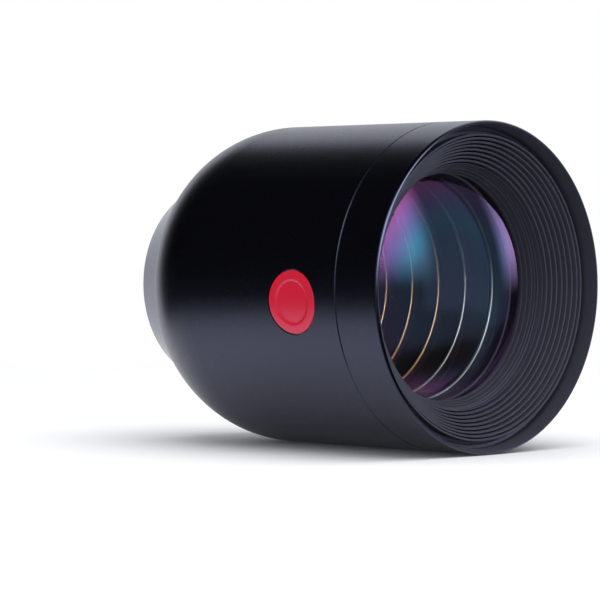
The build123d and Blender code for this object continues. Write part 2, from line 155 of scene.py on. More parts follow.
class LensSizes(PropertyGroup):
    undercut: FloatProperty(
        name="Baffle undercut",
        description="Width of the dark groove beside each wall of the baffle",
        default=0.17 * MM,
        unit="LENGTH",
    )
    undercut_depth: FloatProperty(
        name="Undercut depth",
        description="Depth of that groove",
        default=0.3 * MM,
        unit="LENGTH",
    )
    edge_break: FloatProperty(
        name="Edge break",
        description="Width of the fine chamfer on turned edges",
        default=0.03 * MM,
        unit="LENGTH",
    )
    rim_round: FloatProperty(
        name="Rim rounding",
        description="Radius of the outer edge of the front rim",
        default=0.38 * MM,
        unit="LENGTH",
    )
    edge_bead: FloatProperty(
        name="Trap edge",
        description="Width of the bare edge on each ring of the light trap",
        default=0.42 * MM,
        unit="LENGTH",
    )
    badge_round: FloatProperty(
        name="Badge rounding",
        description="Radius of the badge's outer edge",
        default=0.2 * MM,
        unit="LENGTH",
    )
    turn_steps: IntProperty(
        name="Turning steps",
        description="Steps round a turned piece",
        default=256,
        min=32,
        max=512,
    )


class LensColours(PropertyGroup):
    barrel: FloatVectorProperty(
        name="Barrel",
        description="Dye of the satin anodised barrel",
        subtype="COLOR",
        size=4,
        min=0,
        max=1,
        default=linear("#07070c"),
    )
    baffle: FloatVectorProperty(
        name="Baffle",
        description="Dye of the matt anodised inner pieces",
        subtype="COLOR",
        size=4,
        min=0,
        max=1,
        default=linear("#3a3b42"),
    )
    badge: FloatVectorProperty(
        name="Badge",
        description="Dye of the red anodised badge",
        subtype="COLOR",
        size=4,
        min=0,
        max=1,
        default=linear("#e01a36"),
    )
    edge: FloatVectorProperty(
        name="Trap edges",
        description="Bare turned edge of the light trap's rings",
        subtype="COLOR",
        size=4,
        min=0,
        max=1,
        default=linear("#dcdcdf"),
    )


def sizes():
    """The sizes that the panel shows."""
    return bpy.context.scene.lens_sizes


def colours():
    """The colours that the panel shows."""
    return bpy.context.scene.lens_colours


# Materials


def start_material(name):
    """A material with an empty node tree but for its output, and the tree."""
    material = bpy.data.materials.get(name)
    if material is None:
        material = bpy.data.materials.new(name)
        material.use_nodes = True
    tree = material.node_tree
    tree.nodes.clear()
    return material, tree


def add_node(tree, kind, settings=None, inputs=None):
    """Add one node. settings holds its properties, inputs the value of each socket or what feeds it."""
    node = tree.nodes.new(kind)
    for key, value in (settings or {}).items():
        setattr(node, key, value)
    for key, value in (inputs or {}).items():
        if isinstance(value, bpy.types.NodeSocket):
            tree.links.new(value, node.inputs[key])
        else:
            node.inputs[key].default_value = value
    return node


def anodised(name, colour, roughness, grit_mm, bump, feed_mm=0.0, ior=1.77):
    """Dyed anodised aluminium. The oxide is clear and hard over a dye, so it reflects like a
    dielectric. The blasting below it, or the tool's feed per turn, breaks up the gloss."""
    material, tree = start_material(name)
    place = add_node(tree, "ShaderNodeTexCoord")
    grit = add_node(
        tree,
        "ShaderNodeTexNoise",
        {},
        {
            "Scale": 1 / (grit_mm * MM),
            "Detail": 2.0,
            "Roughness": 0.6,
            "Vector": place.outputs["Object"],
        },
    )
    rough = add_node(
        tree,
        "ShaderNodeMapRange",
        {},
        {
            "From Min": 0.3,
            "From Max": 0.7,
            "To Min": roughness - 0.03,
            "To Max": roughness + 0.03,
            "Value": grit.outputs["Fac"],
        },
    )
    height = grit.outputs["Fac"]
    if feed_mm:
        rings = add_node(
            tree,
            "ShaderNodeTexWave",
            {"wave_type": "RINGS", "rings_direction": "Z"},
            {
                "Scale": math.pi / 10 / (feed_mm * MM),
                "Distortion": 0.2,
                "Vector": place.outputs["Object"],
            },
        )
        height = add_node(
            tree,
            "ShaderNodeMath",
            {"operation": "ADD"},
            {0: grit.outputs["Fac"], 1: rings.outputs["Fac"]},
        ).outputs[0]
    relief = add_node(
        tree,
        "ShaderNodeBump",
        {},
        {"Strength": bump, "Distance": 0.02 * MM, "Height": height},
    )
    paler = [min(1.0, c * 1.12) for c in colour[:3]] + [1.0]
    tint = add_node(
        tree,
        "ShaderNodeMix",
        {"data_type": "RGBA"},
        {0: grit.outputs["Fac"], 6: colour, 7: paler},
    )
    skin = add_node(
        tree,
        "ShaderNodeBsdfPrincipled",
        {},
        {
            "Metallic": 0.0,
            "IOR": ior,
            "Specular Tint": linear("#c6cfff"),
            "Base Color": tint.outputs[2],
            "Roughness": rough.outputs["Result"],
            "Normal": relief.outputs["Normal"],
        },
    )
    add_node(tree, "ShaderNodeOutputMaterial", {}, {"Surface": skin.outputs["BSDF"]})
    return material


def fill_ramp(node, stops):
    """Give a Color Ramp node these stops, each a position from 0 to 1 and a hex colour."""
    elements = node.color_ramp.elements
    while len(elements) < len(stops):
        elements.new(0.5)
    for element, (at, colour) in zip(elements, stops):
        element.position = at
        element.color = linear(colour)


# What the coating gives back, by the distance from the axis in mm
COATING_SPAN = 16.0
COATING = (
    (0.0, "#9cb2e6"),
    (6.5, "#84bdea"),
    (8.2, "#69d7ff"),
    (9.4, "#89c7ff"),
    (10.4, "#a6b2ff"),
    (11.6, "#cf9eff"),
    (12.4, "#eb97ff"),
    (13.4, "#ff80e0"),
)


def coated_glass():
    """Front lens. Its coating gets thinner towards the edge, so what it gives back turns from teal
    through blue and violet to magenta. The face behind has a ground land."""
    material, tree = start_material("coated_optical_glass")
    place = add_node(tree, "ShaderNodeTexCoord")
    split = add_node(tree, "ShaderNodeSeparateXYZ", {}, {"Vector": place.outputs["Object"]})
    flat = add_node(
        tree,
        "ShaderNodeVectorMath",
        {"operation": "MULTIPLY"},
        {0: place.outputs["Object"], 1: (1 / MM, 1 / MM, 0)},
    )
    out = add_node(tree, "ShaderNodeVectorMath", {"operation": "LENGTH"}, {0: flat.outputs[0]})
    along = add_node(
        tree,
        "ShaderNodeMapRange",
        {},
        {"From Min": 0.0, "From Max": COATING_SPAN, "Value": out.outputs["Value"]},
    )
    tint = add_node(tree, "ShaderNodeValToRGB", {}, {"Fac": along.outputs["Result"]})
    fill_ramp(tint, [(at / COATING_SPAN, colour) for at, colour in COATING])
    lean = add_node(tree, "ShaderNodeLayerWeight", {}, {"Blend": 0.5})
    share = add_node(
        tree,
        "ShaderNodeMapRange",
        {},
        {
            "From Min": 0.1,
            "From Max": 0.7,
            "To Min": 0.04,
            "To Max": 0.15,
            "Value": lean.outputs["Facing"],
        },
    )
    clear = add_node(tree, "ShaderNodeBsdfTransparent", {}, {"Color": linear("#f6f7f7")})
    gloss = add_node(
        tree,
        "ShaderNodeBsdfGlossy",
        {},
        {"Roughness": 0.01, "Color": tint.outputs["Color"]},
    )
    outer = add_node(
        tree,
        "ShaderNodeMixShader",
        {},
        {0: share.outputs["Result"], 1: clear.outputs["BSDF"], 2: gloss.outputs["BSDF"]},
    )
    # The hollow cemented face behind sends the window back towards the right of the glass. Here the
    # front face does so, with a second gloss that has its own normal.
    across = add_node(
        tree,
        "ShaderNodeMath",
        {"operation": "MULTIPLY_ADD"},
        {
            0: split.outputs["Y"],
            1: -0.5 / (HOLLOW_ACROSS * MM),
            2: LEVEL_ACROSS / HOLLOW_ACROSS,
        },
    )
    tilt = add_node(
        tree,
        "ShaderNodeMath",
        {"operation": "MULTIPLY_ADD"},
        {0: out.outputs["Value"], 1: -0.5 / HOLLOW_ACROSS, 2: across.outputs[0]},
    )
    rise = add_node(
        tree,
        "ShaderNodeMath",
        {"operation": "MULTIPLY_ADD"},
        {
            0: split.outputs["X"],
            1: 1 / (HOLLOW_UP * MM),
            2: -LEVEL_DOWN / HOLLOW_UP,
        },
    )
    hollow = add_node(
        tree,
        "ShaderNodeCombineXYZ",
        {},
        {"X": rise.outputs[0], "Y": tilt.outputs[0], "Z": 1.0},
    )
    facing = add_node(tree, "ShaderNodeVectorMath", {"operation": "NORMALIZE"}, {0: hollow.outputs[0]})
    cooler = add_node(
        tree,
        "ShaderNodeMix",
        {"data_type": "RGBA"},
        {0: 0.6, 6: tint.outputs["Color"], 7: linear("#b4c4ff")},
    )
    inner = add_node(
        tree,
        "ShaderNodeBsdfGlossy",
        {},
        {"Roughness": 0.01, "Color": cooler.outputs[2], "Normal": facing.outputs[0]},
    )
    front = add_node(
        tree, "ShaderNodeMath", {"operation": "GREATER_THAN"}, {0: split.outputs["Z"], 1: FACE_FROM * MM}
    )
    weak = add_node(tree, "ShaderNodeMath", {"operation": "MULTIPLY"}, {0: front.outputs[0], 1: 0.07})
    face = add_node(
        tree,
        "ShaderNodeMixShader",
        {},
        {0: weak.outputs[0], 1: outer.outputs["Shader"], 2: inner.outputs["BSDF"]},
    )
    only_front = add_node(
        tree,
        "ShaderNodeMixShader",
        {},
        {0: front.outputs[0], 1: clear.outputs["BSDF"], 2: face.outputs["Shader"]},
    )
    ground = add_node(tree, "ShaderNodeBsdfDiffuse", {}, {"Color": linear("#6a6b72")})
    land = add_node(
        tree,
        "ShaderNodeMath",
        {"operation": "COMPARE"},
        {0: out.outputs["Value"], 1: LAND_R, 2: LAND_HALF},
    )
    rear = add_node(
        tree, "ShaderNodeMath", {"operation": "LESS_THAN"}, {0: split.outputs["Z"], 1: LAND_BELOW * MM}
    )
    masked = add_node(
        tree,
        "ShaderNodeMath",
        {"operation": "MULTIPLY"},
        {0: land.outputs[0], 1: rear.outputs[0]},
    )
    mix = add_node(
        tree,
        "ShaderNodeMixShader",
        {},
        {0: masked.outputs[0], 1: only_front.outputs["Shader"], 2: ground.outputs["BSDF"]},
    )
    add_node(tree, "ShaderNodeOutputMaterial", {}, {"Surface": mix.outputs["Shader"]})
    return material


def clear_glass():
    """Polished crown or flint glass inside the lens. It shows only a faint gloss."""
    material, tree = start_material("polished_optical_glass")
    clear = add_node(tree, "ShaderNodeBsdfTransparent", {}, {"Color": linear("#f6f8f6")})
    gloss = add_node(tree, "ShaderNodeBsdfGlossy", {}, {"Roughness": 0.02, "Color": linear("#d8e6ee")})
    lean = add_node(tree, "ShaderNodeLayerWeight", {}, {"Blend": 0.15})
    share = add_node(
        tree,
        "ShaderNodeMapRange",
        {},
        {
            "From Min": 0.0,
            "From Max": 1.0,
            "To Min": 0.004,
            "To Max": 0.06,
            "Value": lean.outputs["Fresnel"],
        },
    )
    mix = add_node(
        tree,
        "ShaderNodeMixShader",
        {},
        {0: share.outputs["Result"], 1: clear.outputs["BSDF"], 2: gloss.outputs["BSDF"]},
    )
    add_node(tree, "ShaderNodeOutputMaterial", {}, {"Surface": mix.outputs["Shader"]})
    return material


def rubber():
    """Nitrile cord: matt, nearly black, with a fine moulding grain."""
    material, tree = start_material("nitrile_rubber")
    place = add_node(tree, "ShaderNodeTexCoord")
    grain = add_node(
        tree,
        "ShaderNodeTexNoise",
        {},
        {"Scale": 1 / (0.2 * MM), "Detail": 3.0, "Vector": place.outputs["Object"]},
    )
    relief = add_node(
        tree,
        "ShaderNodeBump",
        {},
        {"Strength": 0.3, "Distance": 0.02 * MM, "Height": grain.outputs["Fac"]},
    )
    skin = add_node(
        tree,
        "ShaderNodeBsdfPrincipled",
        {},
        {"Base Color": linear("#141414"), "Roughness": 0.75, "Normal": relief.outputs["Normal"]},
    )
    add_node(tree, "ShaderNodeOutputMaterial", {}, {"Surface": skin.outputs["BSDF"]})
    return material


def bare_metal(name, hex_colour, roughness, grain_mm):
    """Rolled or machined bare metal, with a grain that varies its gloss."""
    material, tree = start_material(name)
    place = add_node(tree, "ShaderNodeTexCoord")
    grain = add_node(
        tree,
        "ShaderNodeTexNoise",
        {},
        {"Scale": 1 / (grain_mm * MM), "Detail": 2.0, "Vector": place.outputs["Object"]},
    )
    rough = add_node(
        tree,
        "ShaderNodeMapRange",
        {},
        {
            "From Min": 0.3,
            "From Max": 0.7,
            "To Min": roughness - 0.06,
            "To Max": roughness + 0.06,
            "Value": grain.outputs["Fac"],
        },
    )
    skin = add_node(
        tree,
        "ShaderNodeBsdfPrincipled",
        {},
        {"Base Color": linear(hex_colour), "Metallic": 1.0, "Roughness": rough.outputs["Result"]},
    )
    add_node(tree, "ShaderNodeOutputMaterial", {}, {"Surface": skin.outputs["BSDF"]})
    return material


def tape():
    """Clear acrylic adhesive tape, slightly milky."""
    material, tree = start_material("acrylic_tape")
    place = add_node(tree, "ShaderNodeTexCoord")
    cloud = add_node(
        tree,
        "ShaderNodeTexNoise",
        {},
        {"Scale": 1 / (0.8 * MM), "Detail": 2.0, "Vector": place.outputs["Object"]},
    )
    rough = add_node(
        tree,
        "ShaderNodeMapRange",
        {},
        {"To Min": 0.35, "To Max": 0.5, "Value": cloud.outputs["Fac"]},
    )
    skin = add_node(
        tree,
        "ShaderNodeBsdfPrincipled",
        {},
        {"Base Color": linear("#c9c6bc"), "Roughness": rough.outputs["Result"]},
    )
    add_node(tree, "ShaderNodeOutputMaterial", {}, {"Surface": skin.outputs["BSDF"]})
    return material


def barrel_finish():
    """Bead-blasted aluminium under black anodising: satin, near black, broad soft highlights."""
    return anodised("satin_black_anodising", colours().barrel[:], 0.3, 0.3, 0.05)


def rim_finish():
    """The barrel's black anodising, burnished by handling where the rim's edge is rounded."""
    return anodised("burnished_black_anodising", colours().barrel[:], 0.16, 0.3, 0.03)


def painted_groove_shade():
    """Painted shade for the undercuts: a dead black, matt dye that stands in for the shade that falls in
    them.
    """
    return anodised("painted_shade_groove_anodising", linear("#050506"), 0.7, 0.3, 0.05, ior=1.3)


def trap_dye_and_painted_light():
    """Ribbed black anodising inside, with a faint brown painted into its dye for the coatings' leftover
    light.
    """
    return anodised("ribbed_anodising_painted_light", linear("#43363a"), 0.6, 0.3, 0.08, feed_mm=0.0942)


def mouth_finish():
    """Black anodising over a coarser turned cone: it scatters more and looks dark grey."""
    dye = linear("#3c3d45")
    return anodised("grey_black_anodising", dye, 0.45, 0.3, 0.08, feed_mm=0.0628, ior=1.6)


def neck_finish():
    """Black anodising on the mount's finely turned neck: smoother and greyer than the barrel."""
    return anodised("turned_black_anodising", linear("#33343c"), 0.2, 0.3, 0.03, feed_mm=0.0754)


def baffle_finish():
    """Turned aluminium under matt black anodising: the tool's fine rings catch a soft sheen."""
    dye = colours().baffle[:]
    return anodised("matt_black_anodising", dye, 0.45, 0.3, 0.08, feed_mm=0.0628, ior=1.5)


def badge_finish():
    """Fine blasted aluminium under red anodising: a clear deep dye with a silky gloss."""
    return anodised("red_anodising", colours().badge[:], 0.24, 0.25, 0.1)


# Modelling


def sharp_rings(bm):
    """The edges round the axis at which the surface turns by more than 25 degrees."""
    found = []
    for edge in bm.edges:
        a, b = edge.verts
        level = abs(a.co.z - b.co.z) < 1e-7
        if level and len(edge.link_faces) == 2 and edge.calc_face_angle(0) > math.radians(25):
            found.append(edge)
    return found


def finish_mesh(name, bm, material, node, shade_angle=35):
    """Turn the bmesh into a piece that stands for a node and rides on the body."""
    mesh = bpy.data.meshes.new(name)
    bm.to_mesh(mesh)
    bm.free()
    mesh.shade_smooth()
    mesh.set_sharp_from_angle(angle=math.radians(shade_angle))
    piece = bpy.data.objects.new(name, mesh)
    bpy.context.scene.collection.objects.link(piece)
    mesh.materials.append(material)
    even = piece.modifiers.new("even_shading", "WEIGHTED_NORMAL")
    even.keep_sharp = True
    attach(piece, BODY)
    if node:
        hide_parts(node)
    return piece


def turned(outline, edge_break=0.0, closed=True):
    """Spin an outline of (radius, height) points, in mm, round the axis and break its edges."""
    bm = bmesh.new()
    verts = [bm.verts.new((r * MM, 0, z * MM)) for r, z in outline]
    ends = verts[1:] + verts[:1] if closed else verts[1:]
    edges = [bm.edges.new(pair) for pair in zip(verts, ends)]
    bmesh.ops.spin(
        bm,
        geom=verts + edges,
        cent=(0, 0, 0),
        axis=(0, 0, 1),
        angle=2 * math.pi,
        steps=sizes().turn_steps,
        use_merge=True,
    )
    bmesh.ops.remove_doubles(bm, verts=bm.verts, dist=1e-8)
    bmesh.ops.recalc_face_normals(bm, faces=bm.faces)
    if edge_break:
        bmesh.ops.bevel(
            bm,
            geom=sharp_rings(bm),
            offset=edge_break,
            offset_type="OFFSET",
            segments=2,
            profile=0.5,
            affect="EDGES",
            material=-1,
            clamp_overlap=True,
        )
    return bm


def cap_arc(radius, apex, half, sense, count=40):
    """Points of a spherical face from the axis to its edge. sense is -1 where it falls back."""
    return [
        (half * k / count, apex + sense * (radius - math.sqrt(radius**2 - (half * k / count) ** 2)))
        for k in range(count + 1)
    ]


class LENS_OT_front_ring(Operator):
    """Front ring: rim with a soft outer edge, tapered mouth, and the cell of the front glass"""

    bl_idname = "lens.front_ring"
    bl_label = "Front Ring"

    def execute(self, context):
        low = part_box("front_ring")[0].z / MM
        rounding = sizes().rim_round / MM
        mouth_r = BARREL_R - RIM_LAND
        wall_r = mouth_r - TAPER_IN
        flange_r = FLANGE_R + FIT
        under_baffle = RIM - BAFFLE_BOTTOM - FIT
        under_retainer = RIM - RETAINER_BOTTOM - FIT
        arc = [
            (
                BARREL_R - rounding * (1 - math.cos(t)),
                RIM - rounding * (1 - math.sin(t)),
            )
            for t in [math.radians(90 * k / 8) for k in range(9)]
        ]
        outline = [(SPIGOT_R, SEAM), (BARREL_R - SEAM_BREAK, SEAM), (BARREL_R, SEAM + SEAM_BREAK)]
        outline += arc
        outline += [
            (mouth_r, RIM),
            (wall_r, RIM - TAPER_DEPTH),
            (wall_r, RIM - SLOT_DEPTH),
            (flange_r, RIM - SLOT_DEPTH),
            (flange_r, under_baffle),
            (RETAINER_R + FIT, under_baffle),
            (RETAINER_R + FIT, under_retainer),
            (FRONT_GLASS_R + FIT, under_retainer),
            (FRONT_GLASS_R + FIT, low + SEAT_STEP),
            (SEAT_R, low + SEAT_STEP),
            (SEAT_R, low),
            (SPIGOT_R, low),
        ]
        bm = turned(outline, sizes().edge_break)
        for face in bm.faces:
            middle = face.calc_center_median() / MM
            out = math.hypot(middle.x, middle.y)
            if middle.z > RIM - rounding and out > BARREL_R - rounding and face.normal.z > 0.02:
                face.material_index = 2
            elif out < BARREL_R - rounding:
                face.material_index = 1
        piece = finish_mesh("front_ring_turned", bm, barrel_finish(), "front_ring")
        piece.data.materials.append(mouth_finish())
        piece.data.materials.append(rim_finish())
        return {"FINISHED"}


def in_undercut(place, cut, deep):
    """Whether this place, in mm, is on the floor or a wall of one of the baffle's undercuts."""
    slack = 0.01
    out = math.hypot(place.x, place.y)
    number = round((LIP_R - LIP_WIDTH - cut / 2 - out) / STEP_IN)
    corner = LIP_R - LIP_WIDTH - number * STEP_IN
    land = RIM - LIP_DEPTH - LIP_WIDTH - number * STEP_DOWN
    beside = 0 <= number <= STEPS and corner - cut - slack < out < corner + slack
    return beside and land - deep - 2 * slack < place.z < land - 4.5 * slack


class LENS_OT_baffle(Operator):
    """Stepped baffle with an undercut beside each wall, and the retaining ring under it"""

    bl_idname = "lens.baffle"
    bl_label = "Stepped Baffle"

    def execute(self, context):
        cut = sizes().undercut / MM
        deep = sizes().undercut_depth / MM
        top = RIM - LIP_DEPTH
        outline = [(LIP_R, top), (LIP_R - LIP_WIDTH, top)]
        for k in range(STEPS + 1):
            corner = LIP_R - LIP_WIDTH - k * STEP_IN
            land = top - LIP_WIDTH - k * STEP_DOWN
            reach = STEP_IN if k < STEPS else LAST_IN
            outline += [
                (corner, land - deep),
                (corner - cut, land - deep),
                (corner - cut, land),
                (corner - reach, land),
            ]
        throat = outline[-1][0]
        floor = outline[-1][1] - LAST_DOWN
        outline += [
            (throat, floor),
            (throat - THROAT_LAND, floor),
            (throat - THROAT_LAND, RIM - BAFFLE_BOTTOM),
            (FLANGE_R, RIM - BAFFLE_BOTTOM),
            (FLANGE_R, RIM - SLOT_DEPTH),
            (LIP_R, RIM - SLOT_DEPTH),
        ]
        bm = turned(outline, sizes().edge_break)
        # The undercuts' faces get painted shade: a dead black in place of the shade that falls in them.
        for face in bm.faces:
            if in_undercut(face.calc_center_median() / MM, cut, deep):
                face.material_index = 1
        piece = finish_mesh("baffle_turned", bm, baffle_finish(), "baffle_ring")
        piece.data.materials.append(painted_groove_shade())

        top_r = CLEAR_R + RETAINER_STEPS * RETAINER_IN
        ring = [(RETAINER_R, RIM - RETAINER_TOP), (top_r, RIM - RETAINER_TOP)]
        for k in range(RETAINER_STEPS):
            corner = top_r - k * RETAINER_IN
            land = RIM - RETAINER_TOP - RETAINER_FIRST - k * RETAINER_DOWN
            ring += [
                (corner, land - RETAINER_CUT),
                (corner - RETAINER_CUT, land - RETAINER_CUT),
                (corner - RETAINER_CUT, land),
                (corner - RETAINER_IN, land),
            ]
        ring += [
            (CLEAR_R, RIM - RETAINER_BOTTOM),
            (SEAL_IN_R, RIM - RETAINER_BOTTOM),
            (SEAL_IN_R, RIM - RETAINER_BOTTOM + SEAL_DEPTH),
            (SEAL_OUT_R, RIM - RETAINER_BOTTOM + SEAL_DEPTH),
            (SEAL_OUT_R, RIM - RETAINER_BOTTOM),
            (RETAINER_R, RIM - RETAINER_BOTTOM),
        ]
        bm = turned(ring, sizes().edge_break * 0.6)
        finish_mesh("retainer_turned", bm, baffle_finish(), "front_retainer")
        return {"FINISHED"}


class LENS_OT_glass(Operator):
    """Front lens with its coated face, and the clear lenses behind it"""

    bl_idname = "lens.glass"
    bl_label = "Lenses"

    def execute(self, context):
        front = cap_arc(FRONT_RADIUS, FRONT_APEX, FRONT_GLASS_R, -1)
        rear = cap_arc(CEMENT_RADIUS, CEMENT_APEX, FRONT_GLASS_R, 1)
        bm = turned(front + rear[::-1], closed=False)
        finish_mesh("front_lens_polished", bm, coated_glass(), "front_crown")
        for node in ("front_flint", "rear_concave", "rear_crown", "rear_meniscus"):
            dress(node, clear_glass())
        return {"FINISHED"}


def dress(node, material):
    """Give a CAD node this material in place of its own."""
    mesh = NODES[node].data
    mesh.materials.clear()
    mesh.materials.append(material)


def bare_edge_painted_fringe():
    """The knife edges of the rings are turned after anodising, so they are bare and bright. The front
    lens spreads them into a blue and an orange fringe; the deep ones carry that fringe as painted colour
    in their metal."""
    material, tree = start_material("bare_edge_painted_fringe_metal")
    place = add_node(tree, "ShaderNodeTexCoord")
    split = add_node(tree, "ShaderNodeSeparateXYZ", {}, {"Vector": place.outputs["Object"]})
    below = (TRAP_EDGES[-1] - 1) * MM
    cycle = add_node(
        tree,
        "ShaderNodeMath",
        {"operation": "WRAP"},
        {0: split.outputs["Z"], 1: below, 2: below + TRAP_PITCH * MM},
    )
    across = add_node(
        tree,
        "ShaderNodeMapRange",
        {},
        {
            "From Min": (TRAP_EDGES[-1] - 0.44) * MM,
            "From Max": (TRAP_EDGES[-1] - 0.02) * MM,
            "Value": cycle.outputs[0],
        },
    )
    # Painted fringe: blue, white and orange across each deep edge, for the front lens's spread of light.
    tint = add_node(tree, "ShaderNodeValToRGB", {}, {"Fac": across.outputs["Result"]})
    fill_ramp(tint, [(0.35, "#3a68ff"), (0.6, "#e8f0ff"), (0.8, "#fff0d0"), (0.97, "#ff9030")])
    deep = add_node(
        tree,
        "ShaderNodeMapRange",
        {"interpolation_type": "SMOOTHSTEP"},
        {
            "From Min": (TRAP_EDGES[1] - 1) * MM,
            "From Max": (TRAP_EDGES[0] + 1) * MM,
            "To Min": 1.0,
            "To Max": 0.0,
            "Value": split.outputs["Z"],
        },
    )
    mixed = add_node(
        tree,
        "ShaderNodeMix",
        {"data_type": "RGBA"},
        {0: deep.outputs["Result"], 6: colours().edge[:], 7: tint.outputs["Color"]},
    )
    skin = add_node(
        tree,
        "ShaderNodeBsdfPrincipled",
        {},
        {"Base Color": mixed.outputs[2], "Metallic": 1.0, "Roughness": 0.35},
    )
    add_node(tree, "ShaderNodeOutputMaterial", {}, {"Surface": skin.outputs["BSDF"]})
    return material


class LENS_OT_light_trap(Operator):
    """Light trap, and the thin bare edges of its rings and of the lens seat that catch the light"""

    bl_idname = "lens.light_trap"
    bl_label = "Light Trap"

    def execute(self, context):
        # The trap's dye carries a faint brown that is painted light from the coatings.
        dress("light_trap", trap_dye_and_painted_light())
        half = sizes().edge_bead / MM / 2
        for number, top in enumerate((SEAT_TOP,) + TRAP_EDGES):
            middle = top - half - EDGE_DROP
            outline = [
                (
                    EDGE_R + half * math.cos(math.radians(45 * k)),
                    middle + half * math.sin(math.radians(45 * k)),
                )
                for k in range(8)
            ]
            name = "seat_edge" if number == 0 else "trap_edge_%d" % number
            finish_mesh(name, turned(outline), bare_edge_painted_fringe(), None, 60)
        return {"FINISHED"}


class LENS_OT_badge(Operator):
    """Red badge: disc that follows the barrel, with a soft edge and a shallow dish"""

    bl_idname = "lens.badge"
    bl_label = "Badge"

    def execute(self, context):
        soft = sizes().badge_round / MM
        side = BADGE_R - BADGE_FIT
        outline = [(0.35 * k, -DISH_DEPTH) for k in range(8)]
        for k in range(1, 7):
            t = k / 6
            risen = t**3 * (6 * t**2 - 15 * t + 10)
            outline.append((DISH_R + DISH_WALL * t, DISH_DEPTH * (risen - 1)))
        # Rings between the dish and the edge let the disc follow the barrel.
        outline += [(3.2, 0), (3.5, 0)]
        outline += [
            (side - soft + soft * math.sin(t), -soft + soft * math.cos(t))
            for t in [math.radians(15 * k) for k in range(7)]
        ]
        outline += [(side - 0.5 * k, -BADGE_DEPTH) for k in range(8)] + [(0, -BADGE_DEPTH)]
        bm = turned(outline, closed=False)
        for vert in bm.verts:
            spread, along, height = vert.co
            reach = BARREL_R * MM + height
            turn = spread / (BARREL_R * MM)
            vert.co = (reach * math.sin(turn), -reach * math.cos(turn), BADGE_Z * MM + along)
        bmesh.ops.recalc_face_normals(bm, faces=bm.faces)
        finish_mesh("badge_disc", bm, badge_finish(), "badge", 50)
        dress("badge_pad", tape())
        return {"FINISHED"}


class LENS_OT_metal(Operator):
    """Finishes of the barrel, the rear mount and the inner pieces"""

    bl_idname = "lens.metal"
    bl_label = "Metal and Seals"

    def execute(self, context):
        dress("barrel", barrel_finish())
        dress("rear_mount", neck_finish())
        for node in ("aperture_stop", "rear_cell", "rear_spacer", "rear_retainer"):
            dress(node, baffle_finish())
        for node in ("front_gasket", "front_seal", "cell_seal", "grip_ring"):
            dress(node, rubber())
        dress("trap_shim", bare_metal("rolled_brass", "#b59a5c", 0.35, 0.5))
        dress("mount_screws", bare_metal("blackened_steel", "#4a4a4d", 0.38, 0.2))
        return {"FINISHED"}


# Stage: the photo's camera, a one-sided floor under the lying barrel, and a soft studio.
# right, down and ahead are the camera's own axes, written in the frame of the model.
RIGHT = Vector((0.058754, 0.709845, 0.70192))
DOWN = Vector((0.99496, -0.099186, 0.01703))
AHEAD = Vector((0.081712, 0.697387, -0.71205))
CAMERA_AT = Vector((-28.755, -263.165, 287.05)) * MM
UPRIGHT = Vector((-0.9966, 0.0825, 0.0)).normalized()
FOCAL_PIXELS = 2885
PHOTO_PIXELS = 600
SENSOR = 36

# The paper, in metres: where it fades for the eye, where it fades in the lens's gloss, and where
# that gloss loses it in front of the lens. Only its gap under the barrel is in mm.
PAPER_FADE = (0.09, 0.26)
GLOSS_FADE = (0.03, 0.125)
FRONT_FADE = (0.03, 0.045)
FLOOR_GAP = 0.02
FLOOR_ALONG = 0.02
FLOOR_RADIUS = 0.28
TENT_RADIUS = 1.6
WORLD_LEVEL = 0.72

# The lamp: its place in mm as the camera sees it, its side in metres, and its power in watts
LAMP_PLACE = (60, 400, 110)
LAMP_AIM = (-30, 0, 0)
LAMP_SIDE = 0.6
LAMP_WATTS = 1.7


def aim(obj, at, towards, up):
    """Place a camera, lamp or floor and turn its -Z axis to look this way."""
    back = -towards.normalized()
    side = up.cross(back).normalized()
    top = back.cross(side)
    turn = Matrix((side, top, back)).transposed().to_4x4()
    obj.matrix_world = Matrix.Translation(at) @ turn


def hide_from(obj, *kinds):
    """Rays of these kinds don't see the object."""
    for kind in kinds:
        setattr(obj, "visible_" + kind, False)


def seen_only(tree):
    """1 for the eye, for gloss and through glass, and 0 for light that only brightens a surface."""
    path = add_node(tree, "ShaderNodeLightPath")
    first = add_node(
        tree,
        "ShaderNodeMath",
        {"operation": "ADD"},
        {0: path.outputs["Is Camera Ray"], 1: path.outputs["Is Glossy Ray"]},
    )
    both = add_node(
        tree,
        "ShaderNodeMath",
        {"operation": "ADD", "use_clamp": True},
        {0: first.outputs[0], 1: path.outputs["Is Transmission Ray"]},
    )
    return path, both.outputs[0]


